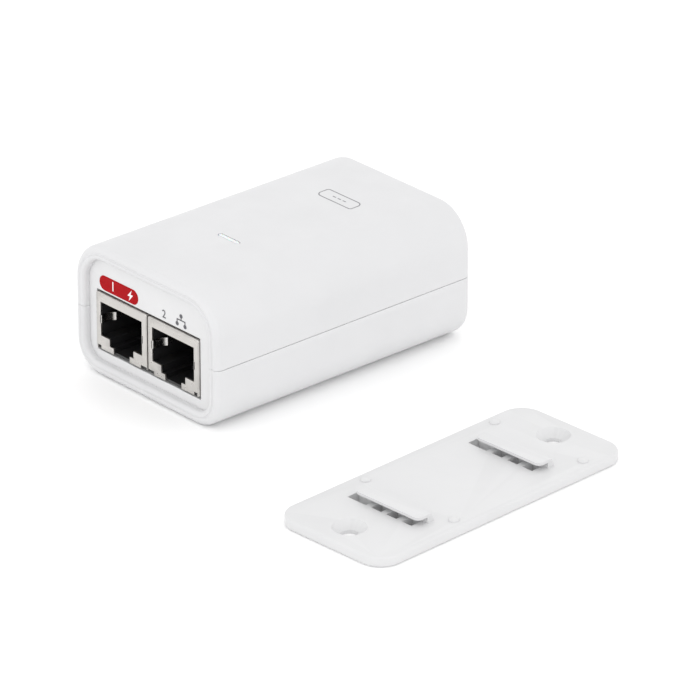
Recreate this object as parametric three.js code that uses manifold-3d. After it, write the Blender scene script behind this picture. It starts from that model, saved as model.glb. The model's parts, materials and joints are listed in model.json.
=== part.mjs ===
// A power-over-Ethernet injector: a white two-part case with two network jacks at the front end, a mains
// inlet at the rear end, its power supply inside, and the loose wall plate that hooks into the underside.
// Millimetres, +Z up. The origin is the centre of the case's flat underside; the jacks face -Y.
import * as THREE from "three";
import { mergeVertices } from "three/addons/utils/BufferGeometryUtils.js";
import Module from "manifold-3d";

const wasm = await Module();
wasm.setup();

// ---------------------------------------------------------------- driving dimensions
const CASE = {
  width: 44,
  length: 68,
  height: 28.7,
  topRadius: 8.7,
  bottomRadius: 6.8,
  endRound: 1.5,
  wall: 2,
  partingHeight: 13.85,
  partingGap: 0.16,
};
const FRONT = -CASE.length / 2;
const REAR = CASE.length / 2;
const RIM = { width: 3.05 }; // the frame of the front end that stands proud of the panel
const PANEL = { front: FRONT + 1.55, thickness: 1.6, clearance: 0.15 };
const BOARD = { top: 5.4, thickness: 1.6, halfWidth: 18.4, front: -30.4, rear: 31.4 };
const SEAT = BOARD.top + 0.05; // the height that parts on the board stand at
const JACK = {
  pairCentre: -0.8, // the two jacks sit a little left of the case's middle
  pitch: 16,
  width: 15.65,
  height: 12.55,
  depth: 20.4,
  front: FRONT + 1.2,
  sheet: 0.4,
  mouth: { halfWidth: 6.4, low: 8.5, high: 16, depth: 12.5 },
  keyway: { halfWidth: 3.7, low: 6.9 },
  latchSlot: { halfWidth: 2.5, floor: SEAT + 0.5 },
};
const JACK_TOP = SEAT + JACK.height;
const jackCentre = (side) => JACK.pairCentre + (side * JACK.pitch) / 2;
const INLET = {
  centreHeight: 13.85,
  noseHalfWidth: 9.7,
  noseLow: 6.1,
  noseHigh: 22.5,
  face: REAR - 0.5,
  flangeHalfWidth: 10.9,
  rear: 17.4,
  recessDepth: 13,
  pinRadius: 1.2,
};
const PLATE = {
  width: 29.1,
  length: 68.7,
  thickness: 2.3,
  corner: 5,
  screwSpacing: 56.5,
  hole: 1.8,
  sink: 3.5,
  sinkFrom: 0.7,
  nub: { radius: 1.1, topRadius: 0.7, height: 0.55 },
  nubs: [-12, 24].flatMap((y) => [-12, 12].map((x) => [x, y])),
  place: { x: 70.6, y: -15.5, turn: THREE.MathUtils.degToRad(3.03) },
};
// Each hook stands over a slot; the numbers are from the slot's near edge, which is at one of the `spots`.
const HOOK = {
  spots: [-19.5, 13.85],
  slot: { left: -9.4, right: 8, length: 3 },
  lip: { left: -8, right: 9.4, start: 0.4, gap: 1.2, thickness: 0.6, corner: 1.3 },
  stem: { start: 3, thickness: 1 },
  ramp: 0.8,
  teeth: { first: -4.4, pitch: 4.15, width: 1.45, low: 0.5 },
};
const SHEET = { halfWidth: 11.6, along: [-8, 27], heights: [2.75, 2.95] };
const TONGUE = { near: 20, far: 20.9, end: 31, top: 15.1, play: 0.15 }; // on the lower cover's side walls
const STOP = { x: 12, halfWidth: 1.4, depth: 1.2, gap: 0.15, reach: 1.6 }; // holds the panel from behind
const BOSS = { radius: 2.3, pilot: 0.95 };
const SCREW = { shank: 3.6, shankRadius: 0.8, headRadius: 2.1, boardHole: 1.5 };
const LEDGE = { near: 16.4, far: 17.6, along: [-22, -18] }; // the board rests on these beside its front screw
const PLAY = 0.2; // the gap left round a part that is pushed into an opening
const UNDER_BOARD = BOARD.top - BOARD.thickness - 0.05; // where supports below the board end
const SUNK = CASE.wall - 0.4; // ribs start inside the wall they grow from
const ROUND = { coarse: 16, medium: 24, fine: 32 }; // segments of a full circle

// ---------------------------------------------------------------- materials
const plastic = (color, roughness) => new THREE.MeshStandardMaterial({ color, roughness, metalness: 0 });
const metal = (color, roughness) => new THREE.MeshStandardMaterial({ color, roughness, metalness: 1 });
const MATERIAL = {
  caseWhite: plastic(0xececee, 0.45),
  panelWhite: plastic(0xf0f0f1, 0.5),
  black: plastic(0x0b0b0c, 0.4),
  clear: plastic(0xf8fafa, 0.2),
  board: plastic(0x1e5a34, 0.5),
  sheet: plastic(0xd9d6c4, 0.4),
  label: plastic(0xd2d3d5, 0.6),
  shield: metal(0xc9c6bf, 0.35),
  brass: metal(0xc9a960, 0.3),
  gold: metal(0xd8b24a, 0.25),
  steel: metal(0xb9bbbe, 0.35),
  aluminium: metal(0xc4c6c8, 0.4),
  ferrite: plastic(0x2b2b2e, 0.7),
  copper: metal(0xb56a36, 0.35),
  tape: plastic(0xd9b72b, 0.45),
  bobbin: plastic(0x17181a, 0.5),
  sleeve: plastic(0x1b2b52, 0.4),
  chip: plastic(0x141416, 0.5),
  filmBox: plastic(0xe3c22c, 0.45),
  varistor: plastic(0x1f4fa3, 0.45),
  ceramic: plastic(0x2a7fc4, 0.45),
  led: plastic(0xf4f6ee, 0.3),
};

// ---------------------------------------------------------------- solids
const injector = new THREE.Group();

// A closed three.js geometry as a manifold-3d solid.
function solid(geometry) {
  for (const name of ["normal", "uv"]) geometry.deleteAttribute(name);
  const merged = mergeVertices(geometry, 1e-4);
  return new wasm.Manifold(
    new wasm.Mesh({
      numProp: 3,
      vertProperties: new Float32Array(merged.attributes.position.array),
      triVerts: new Uint32Array(merged.index.array),
    }),
  );
}

// Adds a solid to a group as one named mesh.
function piece(name, material, body, group = injector) {
  const { vertProperties, triVerts } = body.getMesh();
  const geometry = new THREE.BufferGeometry();
  geometry.setAttribute("position", new THREE.BufferAttribute(vertProperties, 3));
  geometry.setIndex(new THREE.BufferAttribute(triVerts, 1));
  geometry.computeVertexNormals();
  const mesh = new THREE.Mesh(geometry, material);
  mesh.name = name;
  group.add(mesh);
  return mesh;
}

function box([x0, x1], [y0, y1], [z0, z1]) {
  const geometry = new THREE.BoxGeometry(x1 - x0, y1 - y0, z1 - z0);
  geometry.translate((x0 + x1) / 2, (y0 + y1) / 2, (z0 + z1) / 2);
  return solid(geometry);
}

const join = (bodies) => bodies.reduce((all, body) => all.add(body));
const cut = (body, tools) => tools.reduce((left, tool) => left.subtract(tool), body);

// A cylinder from `start` along the axis "x", "y" or "z"; `tip` is its radius at the far end.
function rod(axis, start, length, radius, segments = ROUND.medium, tip = radius) {
  const geometry = new THREE.CylinderGeometry(tip, radius, length, segments);
  geometry.translate(0, length / 2, 0);
  if (axis === "x") geometry.rotateZ(-Math.PI / 2);
  if (axis === "z") geometry.rotateX(Math.PI / 2);
  geometry.translate(...start);
  return solid(geometry);
}

// A rectangle with its own corner radii at the low and high side.
function roundedRectangle([x0, x1], [y0, y1], lowRadius, highRadius = lowRadius) {
  const shape = new THREE.Shape();
  shape.moveTo(x0 + lowRadius, y0);
  shape.lineTo(x1 - lowRadius, y0);
  shape.absarc(x1 - lowRadius, y0 + lowRadius, lowRadius, -Math.PI / 2, 0);
  shape.lineTo(x1, y1 - highRadius);
  shape.absarc(x1 - highRadius, y1 - highRadius, highRadius, 0, Math.PI / 2);
  shape.lineTo(x0 + highRadius, y1);
  shape.absarc(x0 + highRadius, y1 - highRadius, highRadius, Math.PI / 2, Math.PI);
  shape.lineTo(x0, y0 + lowRadius);
  shape.absarc(x0 + lowRadius, y0 + lowRadius, lowRadius, Math.PI, 1.5 * Math.PI);
  return shape;
}

function polygon(points) {
  return new THREE.Shape(points.map(([x, y]) => new THREE.Vector2(x, y)));
}

const AXES = {
  x: [new THREE.Vector3(0, 1, 0), new THREE.Vector3(0, 0, 1), new THREE.Vector3(1, 0, 0)],
  y: [new THREE.Vector3(1, 0, 0), new THREE.Vector3(0, 0, 1), new THREE.Vector3(0, -1, 0)],
  z: [new THREE.Vector3(1, 0, 0), new THREE.Vector3(0, 1, 0), new THREE.Vector3(0, 0, 1)],
};

// A flat shape carried along an axis from `low` to `high`. A shape for "x" is drawn in Y and Z, one for "y"
// in X and Z, and one for "z" in X and Y. `rounding` softens the edges of both ends.
function prism(axis, shape, [low, high], { segments = 3, rounding = 0 } = {}) {
  const geometry = new THREE.ExtrudeGeometry(shape, {
    depth: high - low - 2 * rounding,
    curveSegments: segments,
    bevelEnabled: rounding > 0,
    bevelThickness: rounding,
    bevelSize: rounding,
    bevelOffset: -rounding,
    bevelSegments: 3,
  });
  geometry.translate(0, 0, axis === "y" ? -high + rounding : low + rounding);
  geometry.applyMatrix4(new THREE.Matrix4().makeBasis(...AXES[axis]));
  return solid(geometry);
}

// A body of revolution about a vertical axis through (x, y), from [radius, height] points.
function turned([x, y], points, segments = ROUND.medium) {
  const outline = points.map(([r, z]) => new THREE.Vector2(r, z));
  const geometry = new THREE.LatheGeometry(outline, segments);
  geometry.rotateX(Math.PI / 2);
  geometry.translate(x, y, 0);
  return solid(geometry);
}

// The case's cross-section, drawn in X and Z and moved inwards by `inset`.
function caseSection(inset) {
  const half = CASE.width / 2 - inset;
  const low = CASE.bottomRadius - inset;
  const high = CASE.topRadius - inset;
  return roundedRectangle([-half, half], [inset, CASE.height - inset], low, high);
}

const mirrored = (make) => join([make(-1), make(1)]);
const span = (side, near, far) => (side < 0 ? [-far, -near] : [near, far]);
const EVERYWHERE = [-100, 100];

// ---------------------------------------------------------------- case
const caseBody = prism("y", caseSection(0), [FRONT, REAR], { segments: 5, rounding: CASE.endRound });
const inner = { segments: 4 };
const caseHollow = prism("y", caseSection(CASE.wall), [PANEL.front - 0.05, REAR - CASE.wall], inner);
const frontOpening = prism("y", caseSection(RIM.width), [FRONT - 1, PANEL.front], inner);
const inletOpening = box(
  [-INLET.noseHalfWidth - PLAY, INLET.noseHalfWidth + PLAY],
  [REAR - 2 * CASE.wall, REAR + 1],
  [INLET.noseLow - PLAY, INLET.noseHigh + PLAY],
);
const shell = cut(caseBody, [caseHollow, frontOpening, inletOpening]);
const partingLow = CASE.partingHeight - CASE.partingGap / 2;
const partingHigh = CASE.partingHeight + CASE.partingGap / 2;
const panelRear = PANEL.front + PANEL.thickness;

// Two ribs behind the panel, between two heights.
function panelStops(heights) {
  return mirrored((side) =>
    box(
      span(side, STOP.x - STOP.halfWidth, STOP.x + STOP.halfWidth),
      [panelRear + STOP.gap, panelRear + STOP.gap + STOP.depth],
      heights,
    ),
  );
}

function bottomCover() {
  const lower = shell.intersect(box(EVERYWHERE, EVERYWHERE, [-1, partingLow]));
  const tongues = mirrored((side) =>
    box(span(side, TONGUE.near, TONGUE.far), [-TONGUE.end, TONGUE.end], [partingLow - 0.6, TONGUE.top]),
  );
  const bosses = boardScrews.map(([x, y]) => rod("z", [x, y, 1], UNDER_BOARD - 1, BOSS.radius));
  const ledges = mirrored((side) => box(span(side, LEDGE.near, LEDGE.far), LEDGE.along, [SUNK, UNDER_BOARD]));
  const sheetRests = mirrored((side) =>
    box(span(side, SHEET.halfWidth - 0.9, SHEET.halfWidth), SHEET.along, [SUNK, SHEET.heights[0] - 0.02]),
  );
  const stops = panelStops([SUNK, CASE.wall + STOP.reach]);
  const pilotHoles = boardScrews.map(([x, y]) => rod("z", [x, y, 1.2], 4, BOSS.pilot, ROUND.coarse));
  const solidCover = join([lower, tongues, ...bosses, ledges, sheetRests, stops]);
  return cut(solidCover, [...pilotHoles, ...hookWindows()]);
}

// The windows that the wall plate's hooks enter, each with a thinned ledge that slides under the lip.
function hookWindows() {
  const { lip, stem, ramp } = HOOK;
  const travel = stem.start - lip.start;
  const across = [lip.left - 0.5, lip.right + 0.5];
  const above = CASE.wall + 0.5;
  return HOOK.spots.flatMap((spot) => {
    const ledgeEdge = spot + stem.start - PLAY;
    const windowEnd = spot + stem.start + stem.thickness + ramp + travel + 0.3;
    return [
      box(across, [ledgeEdge, windowEnd], [-1, above]),
      box(across, [ledgeEdge - travel - 0.3, ledgeEdge + 0.1], [lip.gap - PLAY, above]),
    ];
  });
}

function topCover() {
  const upper = shell.intersect(box(EVERYWHERE, EVERYWHERE, [partingHigh, CASE.height + 1]));
  const rabbets = mirrored((side) =>
    box(
      span(side, TONGUE.near - 0.5, TONGUE.far + TONGUE.play),
      [-TONGUE.end - TONGUE.play, TONGUE.end + TONGUE.play],
      [partingHigh - 1, TONGUE.top + TONGUE.play],
    ),
  );
  const holdDownRibs = mirrored((side) =>
    box(span(side, 7.2, 8.6), [JACK.front + 4, JACK.front + 16], [JACK_TOP + 0.15, CASE.height - 1]),
  );
  const stops = panelStops([CASE.height - CASE.wall - STOP.reach, CASE.height - SUNK]);
  const lightSlot = prism("z", pipeOutline(0.1), [CASE.height - 2 * CASE.wall, CASE.height + 1]);
  return cut(join([upper, holdDownRibs, stops]), [rabbets, lightSlot]);
}

const boardScrews = [
  [-15.2, -8.8],
  [-14.8, 29],
];

// ---------------------------------------------------------------- front panel and status light
const PIPE = { halfLength: 3, width: 0.9, y: -11.75, overLed: 0.3 };
const LED = { halfWidth: 1.6, height: 1 };

function pipeOutline(growth) {
  const halfLength = PIPE.halfLength + growth;
  const halfWidth = PIPE.width / 2 + growth;
  const ys = [PIPE.y - halfWidth, PIPE.y + halfWidth];
  return roundedRectangle([-halfLength, halfLength], ys, halfWidth * 0.98);
}

function frontPanel() {
  const plate = prism("y", caseSection(CASE.wall + PANEL.clearance), [PANEL.front, panelRear], inner);
  const reach = JACK.width / 2 + 0.3;
  const across = [jackCentre(-1) - reach, jackCentre(1) + reach];
  const window = box(across, EVERYWHERE, [SEAT - 0.5, JACK_TOP + 0.3]);
  return plate.subtract(window);
}

function lightPipe() {
  const blade = prism("z", pipeOutline(0), [SEAT + LED.height + PIPE.overLed, CASE.height - 0.05]);
  const ceiling = CASE.height - CASE.wall;
  const across = [-PIPE.halfLength - 0.6, PIPE.halfLength + 0.6];
  const collar = box(across, [PIPE.y - PIPE.width / 2, PIPE.y + 1.6], [ceiling - 1.6, ceiling - 0.1]);
  return blade.add(collar);
}

function statusLed() {
  const across = [-LED.halfWidth, LED.halfWidth];
  return box(across, [PIPE.y - 0.5, PIPE.y + 0.8], [SEAT, SEAT + LED.height]);
}

// ---------------------------------------------------------------- network jacks
// The mouth of a jack: the plug's opening, then the stepped way for its latch, open at the board side.
function mouthShape(x, growth, low) {
  const { mouth, keyway, latchSlot } = JACK;
  const wide = mouth.halfWidth + growth;
  const middle = keyway.halfWidth + growth;
  const narrow = latchSlot.halfWidth + growth;
  const right = [
    [narrow, low],
    [narrow, keyway.low - growth],
    [middle, keyway.low - growth],
    [middle, mouth.low - growth],
    [wide, mouth.low - growth],
    [wide, mouth.high + growth],
  ];
  const left = right.map(([dx, z]) => [-dx, z]).reverse();
  return polygon([...right, ...left].map(([dx, z]) => [x + dx, z]));
}

const SHIELD_LEG = [8, 9.6]; // from the jack's front, along the jack

// Each side finger as [distance behind the front, distance into the mouth] along its outer face.
const GROUND_FINGER = {
  low: 11.2,
  high: 13,
  thickness: 0.2,
  run: [
    [0, 0.25],
    [0.3, 0.55],
    [0.9, 0.25],
    [2.5, 0.25],
    [3.3, 0.75],
    [4.2, 0.3],
    [5, 0.25],
  ],
};

function jackShield(x) {
  const half = JACK.width / 2;
  const { sheet, front } = JACK;
  const rear = front + JACK.depth;
  const inside = [x - half + sheet, x + half - sheet];
  const can = box([x - half, x + half], [front, rear], [SEAT, JACK_TOP]);
  const hollow = box(inside, [front + sheet, rear - sheet], [SEAT - 1, JACK_TOP - sheet]);
  const mouth = prism("y", mouthShape(x, 0, SEAT - 1), [front - 1, front + sheet + 0.1]);
  const legs = mirrored((side) => {
    const middle = x + side * (half - sheet / 2);
    const heights = [BOARD.top - BOARD.thickness - 0.6, SEAT + 1];
    return box([middle - sheet / 2, middle + sheet / 2], SHIELD_LEG.map((y) => front + y), heights);
  });
  return join([cut(can, [hollow, mouth]), groundFingers(x, front), legs]);
}

// The two springy fingers of the shield that fold in at the mouth and press on a plug's metal sides.
function groundFingers(x, front) {
  return mirrored((side) => {
    const { low, high, thickness, run } = GROUND_FINGER;
    const wall = x + side * JACK.mouth.halfWidth;
    const at = ([behind, inwards]) => [wall - side * inwards, front + behind];
    const outer = run.map(at);
    const inner = run.slice(1).map(([behind, inwards]) => at([behind, inwards - thickness]));
    const root = [at([JACK.sheet, -0.3]), at([0, -0.3])];
    const outline = [...outer, ...inner.reverse(), ...root];
    return prism("z", polygon(side < 0 ? outline : outline.reverse()), [low, high]);
  });
}

function jackHousing(x) {
  const { mouth, keyway, sheet } = JACK;
  const skin = sheet + 0.05;
  const front = JACK.front + skin;
  const rear = JACK.front + JACK.depth - skin;
  const half = JACK.width / 2 - skin;
  const block = box([x - half, x + half], [front, rear], [SEAT, JACK_TOP - skin]);
  const play = 0.06;
  const across = (halfWidth) => [x - halfWidth, x + halfWidth];
  const plugWay = box(
    across(mouth.halfWidth + play),
    [front - 1, front + mouth.depth],
    [mouth.low - play, mouth.high + play],
  );
  const latchWay = prism("y", mouthShape(x, play, JACK.latchSlot.floor), [front - 1, front + 6.5]);
  const latchRoof = box(across(keyway.halfWidth), [front, front + 9], [keyway.low, mouth.low]);
  const springBay = box(across(5.4), [front + 1.4, front + mouth.depth], [mouth.high - 1, mouth.high + 1.25]);
  return cut(block, [plugWay, latchWay, latchRoof, springBay]);
}

const CONTACT = {
  count: 8,
  pitch: 1.016,
  width: 0.46,
  thickness: 0.34,
  pivotY: JACK.front + 3.2,
  pivotZ: JACK.mouth.high + 0.6,
  drop: 3.3,
  reach: 8.4,
  comb: { halfWidth: 4.7, halfLength: 0.5, halfHeight: 0.42 },
};

// Eight spring wires held by one slim comb at the pivot; their free ends reach down into the plug's way.
function jackContacts(x) {
  const { count, pitch, width, pivotY, pivotZ, thickness, drop, reach } = CONTACT;
  const { halfWidth, halfLength, halfHeight } = CONTACT.comb;
  const comb = box(
    [x - halfWidth, x + halfWidth],
    [pivotY - halfLength, pivotY + halfLength],
    [pivotZ - halfHeight, pivotZ + halfHeight],
  );
  const wireSide = polygon([
    [pivotY, pivotZ - thickness / 2],
    [pivotY + reach, pivotZ - drop - thickness / 2],
    [pivotY + reach + 0.8, pivotZ - drop + 0.25],
    [pivotY + reach + 0.6, pivotZ - drop + 0.25 + thickness],
    [pivotY + reach - 0.1, pivotZ - drop + thickness / 2],
    [pivotY, pivotZ + thickness / 2],
  ]);
  const wires = Array.from({ length: count }, (_, i) => {
    const middle = x + (i - (count - 1) / 2) * pitch;
    return prism("x", wireSide, [middle - width / 2, middle + width / 2]);
  });
  return join([comb, ...wires]);
}

// ---------------------------------------------------------------- mains inlet
const INLET_PINS = [
  { name: "inlet_line_pin", x: -5, z: INLET.centreHeight - 2.3, lobe: 4.2 },
  { name: "inlet_neutral_pin", x: 5, z: INLET.centreHeight - 2.3, lobe: 4.2 },
  { name: "inlet_earth_pin", x: 0, z: INLET.centreHeight + 2.7, lobe: 4.7 },
];
const PIN_BACK = INLET.rear - 1.4;
const PIN_TIP = { length: 1, radius: 0.6 };
const PIN_TAIL = { halfWidth: 0.6, along: [0.2, 0.9] }; // from the pin's back end
const CHIN_DROP = 3.4; // how far the recess reaches below the two lower pins

function inletHousing() {
  const { noseHalfWidth, noseLow, noseHigh, face, flangeHalfWidth, rear, pinRadius } = INLET;
  const nose = box([-noseHalfWidth, noseHalfWidth], [rear, face], [noseLow, noseHigh]);
  const insideWall = REAR - CASE.wall - PLAY;
  const flange = box(
    [-flangeHalfWidth, flangeHalfWidth],
    [insideWall - 1.6, insideWall],
    [SEAT, noseHigh + 1.2],
  );
  const feet = mirrored((side) =>
    box(span(side, 5, noseHalfWidth), [rear, insideWall], [SEAT, noseLow + 0.5]),
  );
  const bores = INLET_PINS.map(({ x, z }) => rod("y", [x, rear - 1, z], 8, pinRadius + 0.1, ROUND.coarse));
  return cut(join([nose, flange, feet]), [...inletRecess(), ...bores]);
}

// The cloverleaf recess: a lobe round each pin, the web between them and a straight floor.
function inletRecess() {
  const { face, recessDepth } = INLET;
  const floor = face - recessDepth;
  const lobes = INLET_PINS.map(({ x, z, lobe }) => rod("y", [x, floor, z], recessDepth + 1, lobe));
  const corners = INLET_PINS.map(({ x, z }) => [x, z]);
  const web = prism("y", polygon(corners), [floor, face + 1]);
  const [left, right] = INLET_PINS;
  const chin = box([left.x, right.x], [floor, face + 1], [left.z - CHIN_DROP, left.z + 0.1]);
  return [...lobes, web, chin];
}

function inletPin({ x, z }) {
  const tipStart = INLET.face - 2 - PIN_TIP.length;
  const shaft = rod("y", [x, PIN_BACK, z], tipStart - PIN_BACK, INLET.pinRadius, ROUND.coarse);
  const tip = rod("y", [x, tipStart, z], PIN_TIP.length, INLET.pinRadius, ROUND.coarse, PIN_TIP.radius);
  const tail = box(
    [x - PIN_TAIL.halfWidth, x + PIN_TAIL.halfWidth],
    PIN_TAIL.along.map((y) => PIN_BACK + y),
    [BOARD.top - BOARD.thickness - 0.6, z],
  );
  return join([shaft, tip, tail]);
}

// ---------------------------------------------------------------- board and power supply
function mainBoard() {
  const { top, thickness, halfWidth, front, rear } = BOARD;
  const outline = roundedRectangle([-halfWidth, halfWidth], [front, rear], 1.5);
  const slab = prism("z", outline, [top - thickness, top]);
  const screwHoles = boardScrews.map(([x, y]) => rod("z", [x, y, 0], 10, SCREW.boardHole, ROUND.coarse));
  const [legStart, legEnd] = SHIELD_LEG;
  const legSlots = [-1, 1].flatMap((jack) =>
    [-1, 1].map((side) => {
      const x = jackCentre(jack) + side * (JACK.width / 2 - JACK.sheet / 2);
      return box([x - 0.4, x + 0.4], [JACK.front + legStart - 0.3, JACK.front + legEnd + 0.3], [0, 10]);
    }),
  );
  const tailHoles = INLET_PINS.map(({ x }) => rod("z", [x, PIN_BACK + 0.55, 0], 10, 0.95, ROUND.coarse));
  return cut(slab, [...screwHoles, ...legSlots, ...tailHoles]);
}

// A pan-head screw with a cross socket; its head stands on `z`.
function screw([x, y], z) {
  const { shank, shankRadius, headRadius } = SCREW;
  const head = [
    [0, z - shank],
    [shankRadius, z - shank],
    [shankRadius, z],
    [headRadius, z],
    [headRadius, z + 0.9],
    [headRadius - 0.6, z + 1.5],
    [0, z + 1.5],
  ];
  const socket = mirrored((turn) => {
    const arm = new THREE.BoxGeometry(2.2, 0.5, 1.6);
    arm.rotateZ((turn * Math.PI) / 4);
    arm.translate(x, y, z + 1.6);
    return solid(arm);
  });
  return turned([x, y], head, ROUND.coarse).subtract(socket);
}

// An electrolytic capacitor: a sleeved can with the crimp groove near its foot and a scored top.
function canCapacitor([x, y], radius, height) {
  const z = SEAT;
  const can = turned(
    [x, y],
    [
      [0, z],
      [radius - 0.3, z],
      [radius, z + 0.4],
      [radius, z + 1.3],
      [radius - 0.5, z + 1.8],
      [radius, z + 2.3],
      [radius, z + height - 0.4],
      [radius - 0.4, z + height],
      [radius - 0.7, z + height],
      [radius - 0.8, z + height - 0.25],
      [0, z + height - 0.25],
    ],
  );
  const score = mirrored((turn) => {
    const arm = new THREE.BoxGeometry(radius * 1.2, 0.35, 0.5);
    arm.rotateZ((turn * Math.PI) / 4);
    arm.translate(x, y, z + height - 0.25);
    return solid(arm);
  });
  return can.subtract(score);
}

// The transformer: its core lies flat, with the coil standing round the middle leg.
const WOUND = {
  x: -10.2,
  y: 4.7,
  z: 12.3,
  halfWidth: 7,
  halfLength: 6.3,
  coreHalfHeight: 2.4,
  outerLeg: 2.3,
  middleLeg: 2.2,
  back: 2.4,
  coil: { halfWidth: 4.3, halfHeight: 5.4, corner: 1.6 },
};
const BOBBIN_REACH = WOUND.halfLength - WOUND.back - 0.15;

// One half of the core: a back plate with three legs that meet the other half's in the middle.
function coreHalf(side) {
  const { x, y, z, halfWidth, halfLength, coreHalfHeight, outerLeg, middleLeg, back } = WOUND;
  const along = (near, far) => span(side, near, far).map((at) => y + at);
  const tall = [z - coreHalfHeight, z + coreHalfHeight];
  const plate = box([x - halfWidth, x + halfWidth], along(halfLength - back, halfLength), tall);
  const legs = [
    [-halfWidth, -halfWidth + outerLeg],
    [-middleLeg, middleLeg],
    [halfWidth - outerLeg, halfWidth],
  ].map(([low, high]) => box([x + low, x + high], along(0.05, halfLength - back + 0.1), tall));
  return join([plate, ...legs]);
}

// A block round the core's middle leg, `growth` larger than the leg in X and Z.
function legBlock(growth, ys) {
  const { x, z, coreHalfHeight, middleLeg } = WOUND;
  const halfX = middleLeg + growth;
  const halfZ = coreHalfHeight + growth;
  return box([x - halfX, x + halfX], ys, [z - halfZ, z + halfZ]);
}

function transformerBobbin() {
  const { x, y, z, coil } = WOUND;
  const tube = legBlock(0.9, [y - BOBBIN_REACH, y + BOBBIN_REACH]);
  const flanges = mirrored((side) =>
    box(
      [x - coil.halfWidth - 0.2, x + coil.halfWidth + 0.2],
      span(side, BOBBIN_REACH - 0.8, BOBBIN_REACH).map((at) => y + at),
      [SEAT, z + coil.halfHeight + 0.8],
    ),
  );
  return join([tube, flanges]).subtract(legBlock(0.1, EVERYWHERE));
}

function transformerWinding() {
  const { x, y, z, coil } = WOUND;
  const reach = BOBBIN_REACH - 0.9;
  const outline = roundedRectangle(
    [x - coil.halfWidth, x + coil.halfWidth],
    [z - coil.halfHeight, z + coil.halfHeight],
    coil.corner,
  );
  return prism("y", outline, [y - reach, y + reach]).subtract(legBlock(0.95, EVERYWHERE));
}

const CHOKE = { x: 14.9, y: 17.3, z: 10.6, outer: 4.2, inner: 2.3, halfWidth: 1.6 };

// A ring about an X axis at the choke's place; `growth` makes the ring's section larger all round.
function chokeRing(growth) {
  const { x, y, z, outer, inner, halfWidth } = CHOKE;
  const start = [x - halfWidth - growth, y, z];
  const width = 2 * (halfWidth + growth);
  const hole = rod("x", [start[0] - 1, y, z], width + 2, inner - growth);
  return rod("x", start, width, outer + growth).subtract(hole);
}

// Half of the choke's winding: a band round the ring, above (side 1) or below (side -1) its middle.
function chokeWinding(side) {
  const { x, y, z } = CHOKE;
  const spread = THREE.MathUtils.degToRad(62);
  const reach = 9;
  const at = (angle) => [y + reach * Math.sin(angle), z + side * reach * Math.cos(angle)];
  const corners = [[y, z], at(spread), at(0), at(-spread)];
  const wedge = polygon(side < 0 ? corners : corners.reverse());
  const sector = prism("x", wedge, [x - 6, x + 6]);
  return chokeRing(0.65).subtract(chokeRing(0.06)).intersect(sector);
}

// A dipped disc component that stands on edge between two X values.
function disc(x0, x1, y, z, radius) {
  const shape = new THREE.Shape();
  shape.absarc(y, z, radius, 0, 2 * Math.PI);
  return prism("x", shape, [x0, x1], { segments: 10, rounding: 0.6 });
}

// A moulded part with `legs` short feet along its front and rear edges.
function gullWingChip([x0, x1], [y0, y1], height, legs) {
  const body = box([x0, x1], [y0 + 0.7, y1 - 0.7], [SEAT + 0.1, SEAT + height]);
  const pitch = (x1 - x0) / legs;
  const feet = Array.from({ length: legs }, (_, i) => {
    const middle = x0 + pitch * (i + 0.5);
    return box([middle - 0.25, middle + 0.25], [y0, y1], [SEAT, SEAT + 0.35]);
  });
  return join([body, ...feet]);
}

// The power switch stands on three legs with its metal tab screwed to the heatsink.
const SWITCH = {
  x: -16.75,
  y: 21.6,
  halfWidth: 5,
  bodyHeights: [8.4, 16.6],
  tabTop: 22.6,
  legPitch: 2.54,
  screwZ: 19.6,
};

function powerSwitch() {
  const { x, y, halfWidth, bodyHeights, tabTop, legPitch, screwZ } = SWITCH;
  const [low, high] = bodyHeights;
  const along = [y - halfWidth, y + halfWidth];
  const body = box([x, x + 4.4], along, bodyHeights);
  const tab = box([x, x + 1.3], along, [high - 0.1, tabTop]);
  const legs = [-1, 0, 1].map((i) => {
    const middle = y + i * legPitch;
    return box([x + 2, x + 2.6], [middle - 0.4, middle + 0.4], [SEAT, low + 0.1]);
  });
  return join([body, tab, ...legs]).subtract(rod("x", [x - 1, y, screwZ], 4, 1.75, ROUND.coarse));
}

function heatsink() {
  const { x, y, screwZ } = SWITCH;
  const plate = box([x - 1.3, x - 0.1], [y - 6.5, y + 6.5], [SEAT, 23]);
  return plate.subtract(rod("x", [x - 3, y, screwZ], 4, 1.6, ROUND.coarse));
}

function heatsinkScrew() {
  const { x, y, screwZ } = SWITCH;
  const head = rod("x", [x + 1.4, y, screwZ], 1.5, 2.6, ROUND.coarse, 2.1);
  const shank = rod("x", [x - 1.6, y, screwZ], 3.1, 1.4, ROUND.coarse);
  const slot = box([x + 2.3, x + 4], [y - 2, y + 2], [screwZ - 0.3, screwZ + 0.3]);
  return join([head, shank]).subtract(slot);
}

// ---------------------------------------------------------------- wall plate
// A hook: a stem behind the slot, a lip that reaches back over the slot, and a ramp behind the stem.
function hook(spot) {
  const { lip, stem, ramp } = HOOK;
  const base = PLATE.thickness;
  const low = base + lip.gap;
  const top = low + lip.thickness;
  const stemFront = spot + stem.start;
  const stemRear = stemFront + stem.thickness;
  const lipShape = roundedRectangle([lip.left, lip.right], [spot + lip.start, stemRear], lip.corner, 0.3);
  const lipBody = prism("z", lipShape, [low, top], { segments: 4 });
  const side = polygon([
    [stemFront, base - 0.5],
    [stemRear + ramp, base - 0.5],
    [stemRear + ramp, base],
    [stemRear, top],
    [stemFront, top],
  ]);
  return lipBody.add(prism("x", side, [lip.left, lip.right]));
}

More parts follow.
